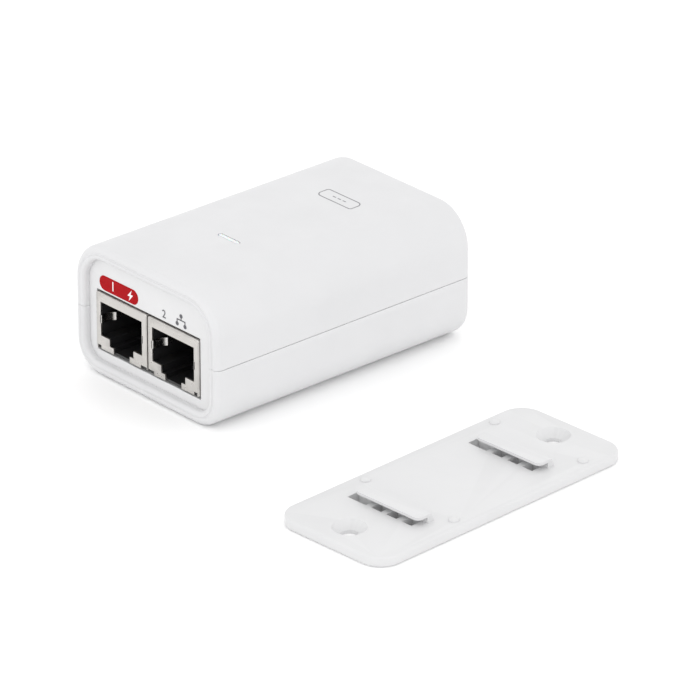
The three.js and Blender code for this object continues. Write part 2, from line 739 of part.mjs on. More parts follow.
// The short teeth that cross a slot at the plate's own surface.
function slotTeeth(spot) {
  const { first, pitch, width, low } = HOOK.teeth;
  const ys = [spot - 0.3, spot + HOOK.slot.length + 0.3];
  return [0, 1, 2].map((i) => {
    const x = first + i * pitch;
    return box([x, x + width], ys, [low, PLATE.thickness]);
  });
}

// A through hole and the cone for a countersunk screw head.
function screwHole(at) {
  const { thickness, hole, sink, sinkFrom } = PLATE;
  const cone = [
    [0, sinkFrom],
    [hole, sinkFrom],
    [sink, thickness],
    [sink, thickness + 3],
    [0, thickness + 3],
  ];
  return [rod("z", [...at, -1], thickness + 2, hole), turned(at, cone)];
}

function wallPlate() {
  const { width, length, thickness, corner, screwSpacing } = PLATE;
  const outline = roundedRectangle([-width / 2, width / 2], [-length / 2, length / 2], corner);
  const slab = prism("z", outline, [0, thickness], { segments: 5, rounding: 0.35 });
  const { left, right, length: slotLength } = HOOK.slot;
  const through = [-1, thickness + 1];
  const slots = HOOK.spots.map((spot) => box([left, right], [spot, spot + slotLength], through));
  const screwHoles = [-1, 1].flatMap((end) => screwHole([0, (end * screwSpacing) / 2]));
  const { radius, topRadius, height } = PLATE.nub;
  const nubProfile = [
    [0, thickness - 1],
    [radius, thickness - 1],
    [radius, thickness + 0.1],
    [topRadius, thickness + height - 0.1],
    [0, thickness + height],
  ];
  const nubs = PLATE.nubs.map((at) => turned(at, nubProfile, 12));
  const slotted = cut(slab, [...slots, ...screwHoles]);
  return join([slotted, ...HOOK.spots.map(hook), ...HOOK.spots.flatMap(slotTeeth), ...nubs]);
}

// ---------------------------------------------------------------- assembly
piece("top_cover", MATERIAL.caseWhite, topCover());
piece("bottom_cover", MATERIAL.caseWhite, bottomCover());
piece("front_panel", MATERIAL.panelWhite, frontPanel());
piece("light_pipe", MATERIAL.clear, lightPipe());
piece("status_led", MATERIAL.led, statusLed());

for (const [name, side] of [
  ["poe", -1],
  ["lan", 1],
]) {
  const x = jackCentre(side);
  piece(`${name}_jack_shield`, MATERIAL.shield, jackShield(x));
  piece(`${name}_jack_housing`, MATERIAL.black, jackHousing(x));
  piece(`${name}_jack_contacts`, MATERIAL.gold, jackContacts(x));
}

piece("inlet_housing", MATERIAL.black, inletHousing());
for (const pin of INLET_PINS) piece(pin.name, MATERIAL.brass, inletPin(pin));

piece("main_board", MATERIAL.board, mainBoard());
const sheetAcross = [-SHEET.halfWidth, SHEET.halfWidth];
piece("insulation_sheet", MATERIAL.sheet, box(sheetAcross, SHEET.along, SHEET.heights));
boardScrews.forEach((at, i) => {
  piece(i ? "board_screw_rear" : "board_screw_front", MATERIAL.steel, screw(at, SEAT));
});

piece("fuse", MATERIAL.label, rod("x", [0.6, 14, SEAT + 1.8], 9.8, 1.7, ROUND.coarse));
piece("varistor", MATERIAL.varistor, disc(13.5, 16.9, 6.4, SEAT + 3.5, 3.2));
piece("interference_capacitor", MATERIAL.filmBox, box([12.2, 17.6], [22.4, 31], [SEAT, SEAT + 10]));
piece("choke_core", MATERIAL.ferrite, chokeRing(0));
piece("choke_winding_upper", MATERIAL.copper, chokeWinding(1));
piece("choke_winding_lower", MATERIAL.copper, chokeWinding(-1));
piece("bridge_rectifier", MATERIAL.chip, gullWingChip([-8.2, -2], [11.6, 15.6], 2.6, 2));
piece("bulk_capacitor", MATERIAL.sleeve, canCapacitor([4.3, 6.7], 5, 18));
piece("transformer_core_front", MATERIAL.ferrite, coreHalf(-1));
piece("transformer_core_rear", MATERIAL.ferrite, coreHalf(1));
piece("transformer_bobbin", MATERIAL.bobbin, transformerBobbin());
piece("transformer_winding", MATERIAL.tape, transformerWinding());
piece("heatsink", MATERIAL.aluminium, heatsink());
piece("power_switch", MATERIAL.chip, powerSwitch());
piece("heatsink_screw", MATERIAL.steel, heatsinkScrew());
piece("controller_chip", MATERIAL.chip, gullWingChip([-17, -12], [11.6, 15.6], 1.5, 4));
piece("optocoupler", MATERIAL.chip, gullWingChip([-2.2, 4], [-2.8, 1.3], 3.4, 2));
piece("safety_capacitor", MATERIAL.ceramic, disc(10, 12.6, 6.4, SEAT + 3.2, 2.9));
piece("output_diode", MATERIAL.chip, gullWingChip([5, 11], [-2.8, 1.3], 2.3, 1));
piece("output_capacitor_left", MATERIAL.sleeve, canCapacitor([6.7, -6.9], 3.15, 11));
piece("output_capacitor_right", MATERIAL.sleeve, canCapacitor([13.9, -6.9], 3.15, 11));
piece("output_inductor", MATERIAL.ferrite, rod("z", [15.2, -0.7, SEAT], 8, 2.5));
piece("network_transformer", MATERIAL.chip, gullWingChip([-12.4, 2.4], [-10.6, -3.4], 5.4, 8));

const plateGroup = new THREE.Group();
plateGroup.position.set(PLATE.place.x, PLATE.place.y, 0);
plateGroup.rotation.z = PLATE.place.turn;
piece("wall_plate", MATERIAL.panelWhite, wallPlate(), plateGroup);
injector.add(plateGroup);

export default injector;
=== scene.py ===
import json
import math

import bmesh
import bpy
from mathutils import Matrix, Vector


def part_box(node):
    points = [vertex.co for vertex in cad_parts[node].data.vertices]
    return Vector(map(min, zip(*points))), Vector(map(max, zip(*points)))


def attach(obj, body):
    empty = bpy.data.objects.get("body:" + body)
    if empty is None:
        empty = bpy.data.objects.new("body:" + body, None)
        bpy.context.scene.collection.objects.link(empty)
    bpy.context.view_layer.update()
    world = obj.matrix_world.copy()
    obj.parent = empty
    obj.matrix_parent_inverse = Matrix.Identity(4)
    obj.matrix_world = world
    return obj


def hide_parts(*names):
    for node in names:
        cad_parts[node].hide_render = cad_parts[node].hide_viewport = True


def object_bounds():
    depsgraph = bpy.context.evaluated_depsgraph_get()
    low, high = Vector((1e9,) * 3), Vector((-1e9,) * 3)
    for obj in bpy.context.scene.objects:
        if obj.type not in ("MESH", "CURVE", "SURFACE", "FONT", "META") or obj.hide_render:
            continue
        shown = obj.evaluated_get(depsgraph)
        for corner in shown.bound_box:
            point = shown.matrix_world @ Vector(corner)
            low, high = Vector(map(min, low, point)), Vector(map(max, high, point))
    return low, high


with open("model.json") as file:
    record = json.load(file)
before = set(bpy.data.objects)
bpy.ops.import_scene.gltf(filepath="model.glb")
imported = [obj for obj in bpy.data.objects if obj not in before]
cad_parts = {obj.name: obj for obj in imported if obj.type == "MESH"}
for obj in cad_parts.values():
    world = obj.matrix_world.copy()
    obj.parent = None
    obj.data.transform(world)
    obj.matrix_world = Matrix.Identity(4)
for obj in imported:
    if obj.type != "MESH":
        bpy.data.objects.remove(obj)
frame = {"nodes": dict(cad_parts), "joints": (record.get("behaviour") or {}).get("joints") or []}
cad_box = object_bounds()
MM = 0.001

# ------------------------------------------------------------------ places from the frame


class Box:
    """A CAD node's box in millimetres."""

    def __init__(self, node):
        low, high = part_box(node)
        self.low = low / MM
        self.high = high / MM
        self.mid = (self.low + self.high) / 2
        self.size = self.high - self.low


TOP = Box("top_cover")
PANEL = Box("front_panel")
PIPE = Box("light_pipe")
JACKS = {"poe": Box("poe_jack_shield"), "lan": Box("lan_jack_shield")}
HOUSING = Box("poe_jack_housing")
CONTACTS = {"poe": Box("poe_jack_contacts"), "lan": Box("lan_jack_contacts")}
INLET = Box("inlet_housing")
PINS = {name: Box(f"inlet_{name}_pin") for name in ("line", "neutral", "earth")}
HINGES = {j["child"]: Vector(j["pos_m"]) / MM for j in frame["joints"] if j["type"] == "hinge"}

HALF = TOP.high.x
FRONT = TOP.low.y
REAR = TOP.high.y
HEIGHT = TOP.high.z
PARTING = TOP.low.z - 0.08
SEAT = HOUSING.low.z
JACK_TOP = JACKS["poe"].high.z
PAIR_MIDDLE = (JACKS["poe"].high.x + JACKS["lan"].low.x) / 2
INLET_EDGE = 1.0  # how far the inlet reaches past its opening, behind the case
OPENING = {"half": INLET.high.x - INLET_EDGE, "low": SEAT + 0.45, "high": INLET.high.z - INLET_EDGE}

# ------------------------------------------------------------------ sizes of the case, in mm
TOP_RADIUS = 8.7
BOTTOM_RADIUS = 6.8
END_ROUND = 1.6
WALL = 2.0
RIM = 3.05
RIM_ROUND = 0.9
PANEL_INSET = 2.15  # how much smaller the panel's corners are than the case's
RIM_GROOVE = [(0.36, 0.0), (0.2, 0.2), (0.02, 0.2)]  # inwards from the end rounding, and its depth
PARTING_GAP = 0.05
RIM_GAP = 0.015  # the covers close up at the front rim
SOFT = 0.14  # how much a moulded edge is rounded
SHELL_SOFT = 0.08  # the same for the covers, whose edges are crisper
SLIT = {"half_length": 3, "half_width": 0.45, "gap": 0.16}  # the status light's pipe and its gap
WINDOW = {"side": 0.1, "above": 0.3, "below": 0.5}  # the gap between the panel and the pair of jacks

# ------------------------------------------------------------------ sizes of the wall plate, in mm
PLATE = {
    "half_width": 14.55,
    "half_length": 34.35,
    "top": 2.3,
    "corner": 5.0,
    "screw_spacing": 56.5,
    "hole": 1.8,
    "sink": 3.5,
    "turn": math.radians(3.03),
}
HOOK_SPOTS = (-19.5, 13.85)  # the near edges of the two slots
SLOT = {"left": -9.4, "right": 8.0, "length": 3.0}
LIP = {"left": -8.0, "right": 9.4, "start": 0.4, "gap": 1.2, "thickness": 0.6, "corner": 1.3}
STEM = {"start": 3.0, "thickness": 1.0}
RAMP = 0.8
TEETH = {"first": -4.4, "pitch": 4.15, "width": 1.45}
HOOK_PLAY = 0.3  # room round a hook in its window
WINDOW_SIDE = 0.5  # how far a window reaches past the lip at each end
NUBS = {"x": (-12, 12), "y": (-12, 24), "radius": 1.1}

# ------------------------------------------------------------------ the photograph's viewpoint
VIEW = {"azimuth": 48.3, "elevation": 25.5, "distance": 1.27, "lens": 330}

# ------------------------------------------------------------------ materials


class Shader:
    """A Principled material whose colour, roughness and bump come from procedural nodes."""

    def __init__(self, name, colour, roughness, metallic=0.0):
        self.material = bpy.data.materials.new(name)
        self.material.use_nodes = True
        self.material.diffuse_color = (*colour, 1)
        self.tree = self.material.node_tree
        self.surface = self.tree.nodes["Principled BSDF"]
        self.surface.inputs["Base Color"].default_value = (*colour, 1)
        self.surface.inputs["Roughness"].default_value = roughness
        self.surface.inputs["Metallic"].default_value = metallic
        self.place = self.add("ShaderNodeTexCoord").outputs["Object"]
        self.colour = colour
        self.roughness = roughness
        self.height = None

    def add(self, kind, **settings):
        node = self.tree.nodes.new(kind)
        for key, value in settings.items():
            setattr(node, key, value)
        return node

    def link(self, output, target):
        self.tree.links.new(output, target)
        return self

    def set(self, name, value):
        self.surface.inputs[name].default_value = value
        return self

    def noise(self, size_mm, detail=3.0, stretch=(1, 1, 1), distortion=0.0):
        """A noise whose blobs are about size_mm across."""
        mapping = self.add("ShaderNodeMapping")
        mapping.inputs["Scale"].default_value = stretch
        self.link(self.place, mapping.inputs["Vector"])
        noise = self.add("ShaderNodeTexNoise")
        noise.inputs["Scale"].default_value = 1 / (size_mm * MM)
        noise.inputs["Detail"].default_value = detail
        noise.inputs["Distortion"].default_value = distortion
        self.link(mapping.outputs["Vector"], noise.inputs["Vector"])
        return noise.outputs["Fac"]

    def ramp(self, value, low, high, start=0.35, end=0.65):
        """Maps a 0 to 1 value onto low to high."""
        node = self.add("ShaderNodeMapRange")
        node.inputs["From Min"].default_value = start
        node.inputs["From Max"].default_value = end
        node.inputs["To Min"].default_value = low
        node.inputs["To Max"].default_value = high
        self.link(value, node.inputs["Value"])
        return node.outputs["Result"]

    def mix_colour(self, value, first, second):
        node = self.add("ShaderNodeMix", data_type="RGBA")
        node.inputs["A"].default_value = (*first, 1)
        node.inputs["B"].default_value = (*second, 1)
        self.link(value, node.inputs["Factor"])
        return node.outputs["Result"]

    def vary_colour(self, size_mm, amount):
        """Slow change of brightness over the surface."""
        dark = tuple(c * (1 - amount) for c in self.colour)
        light = tuple(min(1, c * (1 + amount)) for c in self.colour)
        mixed = self.mix_colour(self.ramp(self.noise(size_mm, 2), 0, 1), dark, light)
        self.link(mixed, self.surface.inputs["Base Color"])
        self.coloured = mixed
        return self

    def edge_highlight_and_polish(self, colour, amount):
        """Convex edges are painted lighter: a painted highlight along them, with a little polish from
        handling.
        """
        edge = self.add("ShaderNodeNewGeometry").outputs["Pointiness"]
        node = self.add("ShaderNodeMix", data_type="RGBA")
        node.inputs["B"].default_value = (*colour, 1)
        self.link(self.coloured, node.inputs["A"])
        self.link(self.ramp(edge, 0, amount, 0.52, 0.6), node.inputs["Factor"])
        self.link(node.outputs["Result"], self.surface.inputs["Base Color"])
        return self

    def vary_roughness(self, size_mm, amount):
        low, high = self.roughness - amount, self.roughness + amount
        self.link(self.ramp(self.noise(size_mm, 4), low, high), self.surface.inputs["Roughness"])
        return self

    def bump(self, value, depth_mm, strength=1.0):
        """Adds relief of the given depth, on top of any relief added before."""
        node = self.add("ShaderNodeBump")
        node.inputs["Strength"].default_value = strength
        node.inputs["Distance"].default_value = depth_mm * MM
        self.link(value, node.inputs["Height"])
        if self.height:
            self.link(self.height, node.inputs["Normal"])
        self.height = node.outputs["Normal"]
        self.link(self.height, self.surface.inputs["Normal"])
        return self


def moulded_plastic(name, colour, roughness, grain_mm=0.25, grain_depth=0.004):
    """Fine spark-eroded grain over a slow unevenness, as moulded cases have."""
    shader = Shader(name, colour, roughness)
    # convex edges painted a little lighter, a painted highlight
    shader.vary_colour(14, 0.012).edge_highlight_and_polish(tuple(min(1, c * 1.05) for c in colour), 0.5)
    shader.vary_roughness(3, 0.05)
    shader.bump(shader.noise(6, 2), 0.01, 0.25)
    shader.bump(shader.noise(grain_mm, 3), grain_depth, 0.6)
    return shader.material


def plated_metal(name, colour, roughness, brush=(1, 1, 14)):
    """Rolled and plated sheet: fine lines one way, cloudy tone, edges painted brighter as a highlight."""
    shader = Shader(name, colour, roughness, 1.0)
    shader.vary_colour(2.5, 0.06).edge_highlight_and_polish(tuple(min(1, c * 1.25) for c in colour), 0.7)
    shader.vary_roughness(1.2, 0.08)
    shader.bump(shader.noise(0.5, 4, brush), 0.004, 0.5)
    return shader.material


def dull_ceramic(name, colour, roughness):
    """Pressed and fired powder: pores and a mottled tone."""
    shader = Shader(name, colour, roughness)
    # convex edges painted much lighter, a painted highlight
    shader.vary_colour(0.8, 0.2).edge_highlight_and_polish(tuple(min(1, c * 1.6 + 0.02) for c in colour), 0.6)
    shader.vary_roughness(0.6, 0.08)
    shader.bump(shader.noise(0.18, 5), 0.015, 0.7)
    return shader.material


def coated(name, colour, roughness, orange_peel=0.012):
    """Dipped or lacquered coat with a soft orange peel."""
    shader = Shader(name, colour, roughness)
    # convex edges painted lighter, a painted highlight
    shader.vary_colour(4, 0.05).edge_highlight_and_polish(tuple(min(1, c * 1.3 + 0.01) for c in colour), 0.5)
    shader.vary_roughness(1.5, 0.05)
    shader.bump(shader.noise(0.9, 2), orange_peel, 0.5)
    shader.set("Coat Weight", 0.25).set("Coat Roughness", 0.15)
    return shader.material


def wound_wire(name, colour, roughness, wire_mm, axis):
    """Turns of enamelled wire, or the edges of wound tape, as fine bands along an axis."""
    shader = Shader(name, colour, roughness, 0.6)
    # convex edges painted lighter, a painted highlight
    shader.vary_colour(1.2, 0.12).edge_highlight_and_polish(tuple(min(1, c * 1.2) for c in colour), 0.5)
    shader.vary_roughness(0.8, 0.06)
    wave = shader.add("ShaderNodeTexWave", bands_direction=axis, wave_profile="SIN")
    wave.inputs["Scale"].default_value = 0.314 / (wire_mm * MM)
    wave.inputs["Distortion"].default_value = 0.4
    shader.link(shader.place, wave.inputs["Vector"])
    shader.bump(wave.outputs["Fac"], wire_mm * 0.35, 0.8)
    return shader.material


def circuit_board(name):
    """Green solder mask over faint copper tracks."""
    shader = Shader(name, (0.02, 0.16, 0.07), 0.35)
    tracks = shader.add("ShaderNodeTexBrick")
    tracks.inputs["Color1"].default_value = (0.02, 0.17, 0.07, 1)
    tracks.inputs["Color2"].default_value = (0.03, 0.21, 0.09, 1)
    tracks.inputs["Mortar"].default_value = (0.01, 0.11, 0.05, 1)
    tracks.inputs["Scale"].default_value = 1 / (6 * MM)
    tracks.inputs["Mortar Size"].default_value = 0.05
    shader.link(shader.place, tracks.inputs["Vector"])
    shader.link(tracks.outputs["Color"], shader.surface.inputs["Base Color"])
    shader.vary_roughness(2, 0.08)
    shader.bump(tracks.outputs["Fac"], 0.03, 0.6)
    shader.bump(shader.noise(0.3, 3), 0.004, 0.5)
    return shader.material


def printed(name, colour, roughness=0.6):
    """Pad-printed ink: a fine ragged film with hardly any shine."""
    shader = Shader(name, colour, roughness)
    shader.vary_colour(0.8, 0.05).set("Specular IOR Level", 0.08)
    shader.vary_roughness(0.5, 0.06)
    shader.bump(shader.noise(0.12, 3), 0.004, 0.5)
    return shader.material


def milky_plastic(name):
    """Clear plastic with enough haze to scatter light."""
    shader = Shader(name, (0.74, 0.75, 0.76), 0.25)
    shader.vary_colour(3, 0.01).vary_roughness(1.5, 0.04)
    shader.bump(shader.noise(0.6, 2), 0.003, 0.5)
    shader.set("Subsurface Weight", 0.3).set("Subsurface Scale", 2 * MM)
    return shader.material


CASE_WHITE = moulded_plastic("case_white", (0.64, 0.64, 0.648), 0.46)
PANEL_WHITE = moulded_plastic("panel_white", (0.67, 0.67, 0.675), 0.5, 0.2)
PLATE_WHITE = moulded_plastic("plate_white", (0.64, 0.64, 0.645), 0.42, 0.3, 0.003)
BLACK = moulded_plastic("black_plastic", (0.012, 0.012, 0.013), 0.38, 0.3, 0.003)
NICKEL = plated_metal("jack_nickel", (0.50, 0.485, 0.465), 0.34)
SPRING = plated_metal("spring_nickel", (0.66, 0.65, 0.63), 0.2)
GOLD = plated_metal("contact_gold", (0.85, 0.62, 0.24), 0.22, (8, 1, 1))
BRASS = plated_metal("pin_brass", (0.78, 0.68, 0.48), 0.25, (1, 8, 1))
STEEL = plated_metal("screw_steel", (0.58, 0.59, 0.60), 0.35)
ALUMINIUM = plated_metal("heatsink_aluminium", (0.76, 0.77, 0.78), 0.38, (1, 12, 1))
FERRITE = dull_ceramic("ferrite", (0.055, 0.055, 0.06), 0.62)
CHIP = dull_ceramic("chip_black", (0.022, 0.022, 0.025), 0.5)
CERAMIC_TUBE = dull_ceramic("fuse_body", (0.72, 0.70, 0.64), 0.45)
SLEEVE = coated("capacitor_sleeve", (0.02, 0.035, 0.16), 0.32)
FILM_BOX = coated("film_box", (0.74, 0.52, 0.05), 0.4, 0.006)
VARISTOR = coated("varistor_blue", (0.02, 0.09, 0.38), 0.4, 0.03)
CERAMIC_BLUE = coated("ceramic_blue", (0.03, 0.24, 0.56), 0.4, 0.03)
COPPER = wound_wire("copper_wire", (0.62, 0.27, 0.11), 0.3, 0.35, "X")
TAPE = wound_wire("yellow_tape", (0.80, 0.60, 0.07), 0.35, 1.2, "Y")
BOARD = circuit_board("circuit_board")
FILM = moulded_plastic("insulation", (0.74, 0.71, 0.58), 0.3, 0.5, 0.002)
PIPE_CLEAR = milky_plastic("clear_pipe")
RED_INK = printed("red_ink", (0.36, 0.004, 0.007))
GREY_INK = printed("grey_ink", (0.13, 0.13, 0.14))
PALE_INK = printed("pale_ink", (0.26, 0.26, 0.27))
WHITE_INK = printed("white_ink", (0.86, 0.84, 0.84))

# ------------------------------------------------------------------ meshes


def new_object(name, mesh, material):
    thing = bpy.data.objects.new(name, mesh)
    bpy.context.scene.collection.objects.link(thing)
    mesh.materials.clear()
    mesh.materials.append(material)
    return thing


def mesh_from(name, build):
    """Makes a mesh in metres from a function that fills a bmesh in millimetres."""
    bm = bmesh.new()
    build(bm)
    bmesh.ops.remove_doubles(bm, verts=bm.verts, dist=1e-4)
    bmesh.ops.recalc_face_normals(bm, faces=bm.faces)
    bmesh.ops.scale(bm, vec=(MM, MM, MM), verts=bm.verts)
    mesh = bpy.data.meshes.new(name)
    bm.to_mesh(mesh)
    bm.free()
    return mesh


def smooth(thing, angle=35):
    for face in thing.data.polygons:
        face.use_smooth = True
    thing.data.set_sharp_from_angle(angle=math.radians(angle))
    return thing


def soften(thing, width=SOFT, segments=3, angle=40):
    """Rounds every edge sharper than the angle, keeping flat faces flat to the eye."""
    bevel = thing.modifiers.new("rounded_edges", "BEVEL")
    bevel.width = width * MM
    bevel.segments = segments
    bevel.limit_method = "ANGLE"
    bevel.angle_limit = math.radians(angle)
    bevel.use_clamp_overlap = True
    bevel.harden_normals = True
    return thing


def baked(thing):
    """Applies the object's modifiers to its mesh."""
    graph = bpy.context.evaluated_depsgraph_get()
    mesh = bpy.data.meshes.new_from_object(thing.evaluated_get(graph))
    thing.modifiers.clear()
    thing.data = mesh
    return thing


def combine(thing, tools, operation):
    """Joins tools to a solid or cuts them out of it; the tools are used up."""
    for tool in tools:
        step = thing.modifiers.new(operation, "BOOLEAN")
        step.operation = operation
        step.solver = "EXACT"
        step.object = tool
    baked(thing)
    for tool in tools:
        bpy.data.objects.remove(tool)
    return thing


def cut(thing, *tools):
    return combine(thing, tools, "DIFFERENCE")


def fuse(thing, *tools):
    return combine(thing, tools, "UNION")


def steps(count):
    """0 to 1 in count even steps, both ends included."""
    return [i / count for i in range(count + 1)]


def arc(cx, cy, radius, start, end, count=10):
    """Points on a circle from start to end, in degrees."""
    angles = [math.radians(start + (end - start) * t) for t in steps(count)]
    return [(cx + radius * math.cos(a), cy + radius * math.sin(a)) for a in angles]


def rounded(x0, x1, y0, y1, low, high=None, count=10):
    """A rectangle with round corners; the corners at y1 may have their own radius."""
    high = low if high is None else high
    return (
        arc(x1 - low, y0 + low, low, -90, 0, count)
        + arc(x1 - high, y1 - high, high, 0, 90, count)
        + arc(x0 + high, y1 - high, high, 90, 180, count)
        + arc(x0 + low, y0 + low, low, 180, 270, count)
    )


AXES = {
    "x": lambda a, b, along: Vector((along, a, b)),
    "y": lambda a, b, along: Vector((a, along, b)),
    "z": lambda a, b, along: Vector((a, b, along)),
}


def loft(name, rings, material, closed=False, caps=True):
    """A skin over rings of points. A closed loft joins its last ring to its first; others are capped."""

    def build(bm):
        rows = [[bm.verts.new(p) for p in ring] for ring in rings]
        count = len(rings[0])
        pairs = list(zip(rows, rows[1:]))
        if closed:
            pairs.append((rows[-1], rows[0]))
        for low, high in pairs:
            for i in range(count):
                j = (i + 1) % count
                bm.faces.new((low[i], low[j], high[j], high[i]))
        if caps and not closed:
            bm.faces.new(rows[0][::-1])
            bm.faces.new(rows[-1])

    return new_object(name, mesh_from(name, build), material)


def prism(name, axis, points, low, high, material=None, rounding=0.0):
    """A flat outline carried along an axis, with both end edges rounded if asked."""
    place = AXES[axis]
    if not rounding:
        rings = [[place(a, b, along) for a, b in points] for along in (low, high)]
        return loft(name, rings, material or CASE_WHITE)
    rings = []
    for end, sign in ((low, 1), (high, -1)):
        part = []
        for t in steps(4):
            angle = math.radians(90 * t)
            inset = rounding * (1 - math.sin(angle))
            along = end + sign * rounding * (1 - math.cos(angle))
            part.append([place(a, b, along) for a, b in shrink(points, inset)])
        rings += part if sign > 0 else part[::-1]
    return loft(name, rings, material or CASE_WHITE)


def shrink(points, inset):
    """Moves a convex-cornered outline, drawn anticlockwise, inwards along its normals."""
    moved = []
    count = len(points)
    for i, (x, y) in enumerate(points):
        before, after = points[i - 1], points[(i + 1) % count]
        first = Vector((x - before[0], y - before[1]))
        second = Vector((after[0] - x, after[1] - y))
        directions = [d.normalized() for d in (first, second) if d.length > 1e-6]
        along = sum(directions, Vector((0, 0))).normalized()
        bend = max(0.35, along.dot(directions[0]))
        moved.append((x - along.y * inset / bend, y + along.x * inset / bend))
    return moved


def block(name, x, y, z, material=None, corner=0.0):
    """A block between two x, two y and two z values, with its upright edges rounded if asked."""
    if corner:
        return prism(name, "z", rounded(*x, *y, corner, count=6), *z, material)
    corners = [(x[0], y[0]), (x[1], y[0]), (x[1], y[1]), (x[0], y[1])]
    return prism(name, "z", corners, *z, material)


def round_bar(name, axis, centre, low, high, radius, material=None, rounding=0.0, count=48):
    return prism(name, axis, arc(*centre, radius, 0, 360, count)[:-1], low, high, material, rounding)


def turned(name, centre, profile, material, count=48):
    """A body of revolution about an upright axis, from (radius, height) points that start and end on it."""
    rings = []
    for radius, height in profile:
        radius = max(radius, 1e-3)
        ring = [
            Vector((centre[0] + radius * math.cos(a), centre[1] + radius * math.sin(a), height))
            for a in (2 * math.pi * i / count for i in range(count))
        ]
        rings.append(ring)
    return loft(name, rings, material)


def finished(thing, body, slot, *nodes):
    """Names what a new piece rides on and hides the CAD nodes it stands for; its slot argument is not used.
    """
    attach(thing, body)
    if nodes:
        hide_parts(*nodes)
    return thing


# ------------------------------------------------------------------ case


def arch(half, start, end, radius):
    """Half of a rounded rectangle in X and Z: up one side from start, across at end, and down again."""
    side = 1 if end > start else -1
    corner = end - side * radius
    straight = [start + (corner - start) * t for t in steps(4)[:-1]]
    bend = [
        (half - radius + radius * math.cos(a), corner + side * radius * math.sin(a))
        for a in (math.radians(90 * t) for t in steps(20))
    ]
    right = [(half, z) for z in straight] + bend
    flat = [((half - radius) * (1 - 2 * t), end) for t in steps(8)[1:-1]]
    return right + flat + [(-x, z) for x, z in reversed(right)]


def case_ring(y, inset, part, end, radius):
    """The outline of one half of the case at y, moved inwards by the inset."""
    side = 1 if end > part else -1
    outline = arch(HALF - inset, part, end - side * inset, max(0.3, radius - inset))
    return [Vector((x, y, z)) for x, z in outline]


def cover(name, part, end, radius, opening_end):
    """One half of the case, as a skin from the front recess round the rim and along to the inlet."""
    side = 1 if end > part else -1

    def ring(y, inset):
        gap = RIM_GAP if y < FRONT + END_ROUND / 2 else PARTING_GAP
        return case_ring(y, inset, part + side * gap, end, radius)

    def opening(y):
        start = part + side * PARTING_GAP
        return [Vector((x, y, z)) for x, z in arch(OPENING["half"], start, opening_end, 0.5)]

    quarter = [math.radians(90 * t) for t in steps(8)]
    rings = [ring(PANEL.low.y, RIM), ring(FRONT + RIM_ROUND, RIM)]
    for angle in quarter[1:]:
        y = FRONT + RIM_ROUND * (1 - math.sin(angle))
        rings.append(ring(y, RIM - RIM_ROUND * (1 - math.cos(angle))))
    rings += [ring(FRONT + depth, END_ROUND + inwards) for inwards, depth in RIM_GROOVE]
    end_round = [(END_ROUND * (1 - math.cos(a)), END_ROUND * (1 - math.sin(a))) for a in quarter]
    rings += [ring(FRONT + along, inset) for along, inset in end_round[1:]]
    rings += [ring(FRONT + (REAR - FRONT) * t, 0) for t in (0.2, 0.4, 0.6, 0.8)]
    rings += [ring(REAR - along, inset) for along, inset in reversed(end_round)]
    rings += [opening(REAR), opening(REAR - WALL), ring(REAR - WALL, WALL), ring(PANEL.low.y, WALL)]

    def build(bm):
        rows = [[bm.verts.new(p) for p in r] for r in rings]
        for low, high in zip(rows, rows[1:] + rows[:1]):
            for i in range(len(low) - 1):
                bm.faces.new((low[i], low[i + 1], high[i + 1], high[i]))
        bm.faces.new([row[0] for row in rows])
        bm.faces.new([row[-1] for row in rows][::-1])

    return new_object(name, mesh_from(name, build), CASE_WHITE)


def slit_outline(growth):
    """The stadium shape of the status light's slit, seen from above."""
    half_length = SLIT["half_length"] + growth
    half_width = SLIT["half_width"] + growth
    y = PIPE.low.y + SLIT["half_width"]
    return rounded(-half_length, half_length, y - half_width, y + half_width, half_width * 0.99)


def top_cover():
    shell = cover("top_shell", PARTING, HEIGHT, TOP_RADIUS, OPENING["high"])
    cut(shell, prism("slit_cut", "z", slit_outline(SLIT["gap"]), HEIGHT - 4, HEIGHT + 1))
    soften(smooth(shell), SHELL_SOFT)
    return finished(shell, "case", "case_white", "top_cover")


def bottom_cover():
    """The lower half, with a window for each hook of the plate and a thinned ledge beside it."""
    shell = cover("bottom_shell", PARTING, 0, BOTTOM_RADIUS, OPENING["low"])
    across = (LIP["left"] - WINDOW_SIDE, LIP["right"] + WINDOW_SIDE)
    travel = STEM["start"] - LIP["start"]
    tools = []
    for spot in HOOK_SPOTS:
        edge = spot + STEM["start"] - 0.2
        window_end = spot + STEM["start"] + STEM["thickness"] + RAMP + travel + HOOK_PLAY
        tools.append(block("window", across, (edge, window_end), (-1, WALL + 1)))
        ledge = (edge - travel - HOOK_PLAY, edge + 0.1)
        tools.append(block("ledge", across, ledge, (LIP["gap"] - 0.2, WALL + 1)))
    cut(shell, *tools)
    soften(smooth(shell), SHELL_SOFT)
    return finished(shell, "case", "case_white", "bottom_cover")


def front_panel():
    """The recessed panel, with one window for the pair of jacks."""
    half = PANEL.high.x
    corners = [radius - PANEL_INSET for radius in (BOTTOM_RADIUS, TOP_RADIUS)]
    outline = rounded(-half, half, PANEL.low.z, PANEL.high.z, *corners, 16)
    plate = prism("port_panel", "y", outline, PANEL.low.y, PANEL.high.y, PANEL_WHITE)
    window = block(
        "window",
        (JACKS["poe"].low.x - WINDOW["side"], JACKS["lan"].high.x + WINDOW["side"]),
        (PANEL.low.y - 1, PANEL.high.y + 1),
        (SEAT - WINDOW["below"], JACK_TOP + WINDOW["above"]),
    )
    cut(plate, window)
    soften(smooth(plate), 0.16)
    return finished(plate, "case", "panel_white", "front_panel")


def light_pipe():
    pipe = prism("status_light_pipe", "z", slit_outline(0), SEAT + 1.3, PIPE.high.z, PIPE_CLEAR, 0.08)
    return finished(smooth(pipe), "case", "clear_pipe", "light_pipe")


